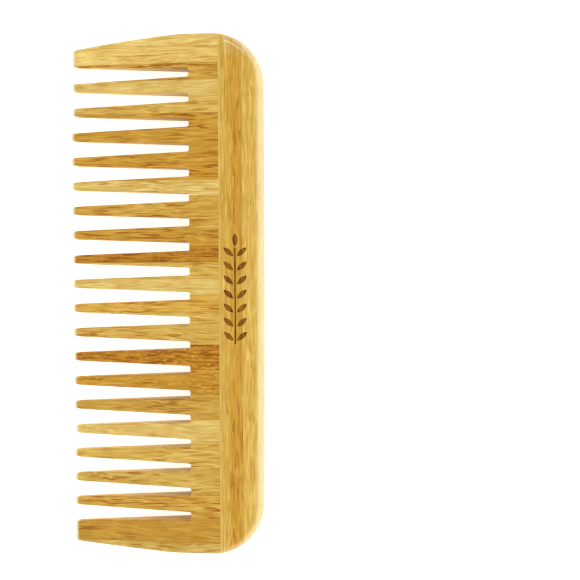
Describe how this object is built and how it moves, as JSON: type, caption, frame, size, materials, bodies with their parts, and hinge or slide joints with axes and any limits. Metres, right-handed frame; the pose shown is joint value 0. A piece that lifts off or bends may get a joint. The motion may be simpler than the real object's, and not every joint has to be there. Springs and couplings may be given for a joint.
{
  "type": "wide tooth comb",
  "caption": "Wide tooth comb glued up from bamboo strips, with round-edged tapering teeth, blunt guard teeth at both ends and a thick rounded spine.",
  "frame": {"origin": "centre of the comb's box, on the flat back face that it rests on", "axes": "+Y along the comb's length, teeth towards -X and spine towards +X, +Z through the thickness towards the engraved face"},
  "size_m": [0.0664, 0.1776, 0.0074],
  "materials": {
    "pale_bamboo": "oiled and waxed, satin",
    "light_honey_bamboo": "oiled and waxed, satin",
    "honey_bamboo": "oiled and waxed, satin",
    "amber_bamboo": "oiled and waxed, satin",
    "deep_bamboo": "oiled and waxed, satin",
    "toasted_bamboo": "oiled and waxed, satin"
  },
  "bodies": {
    "root": {"tooth_strip_01": "pale_bamboo", "tooth_strip_02": "pale_bamboo", "tooth_strip_03": "honey_bamboo", "tooth_strip_04": "pale_bamboo", "tooth_strip_05": "light_honey_bamboo", "tooth_strip_06": "amber_bamboo", "tooth_strip_07": "amber_bamboo", "tooth_strip_08": "amber_bamboo", "tooth_strip_09": "deep_bamboo", "tooth_strip_10": "pale_bamboo", "tooth_strip_11": "honey_bamboo", "tooth_strip_12": "honey_bamboo", "tooth_strip_13": "amber_bamboo", "tooth_strip_14": "toasted_bamboo", "tooth_strip_15": "light_honey_bamboo", "tooth_strip_16": "pale_bamboo", "tooth_strip_17": "honey_bamboo", "tooth_strip_18": "light_honey_bamboo", "tooth_strip_19": "light_honey_bamboo", "tooth_strip_20": "toasted_bamboo", "tooth_strip_21": "deep_bamboo", "tooth_strip_22": "honey_bamboo", "tooth_strip_23": "pale_bamboo", "tooth_strip_24": "light_honey_bamboo", "tooth_strip_25": "light_honey_bamboo", "tooth_strip_26": "honey_bamboo", "tooth_strip_27": "amber_bamboo", "tooth_strip_28": "light_honey_bamboo", "spine_inner_strip": "light_honey_bamboo", "spine_middle_strip": "amber_bamboo", "spine_outer_strip": "light_honey_bamboo"}
  },
  "joints": []
}
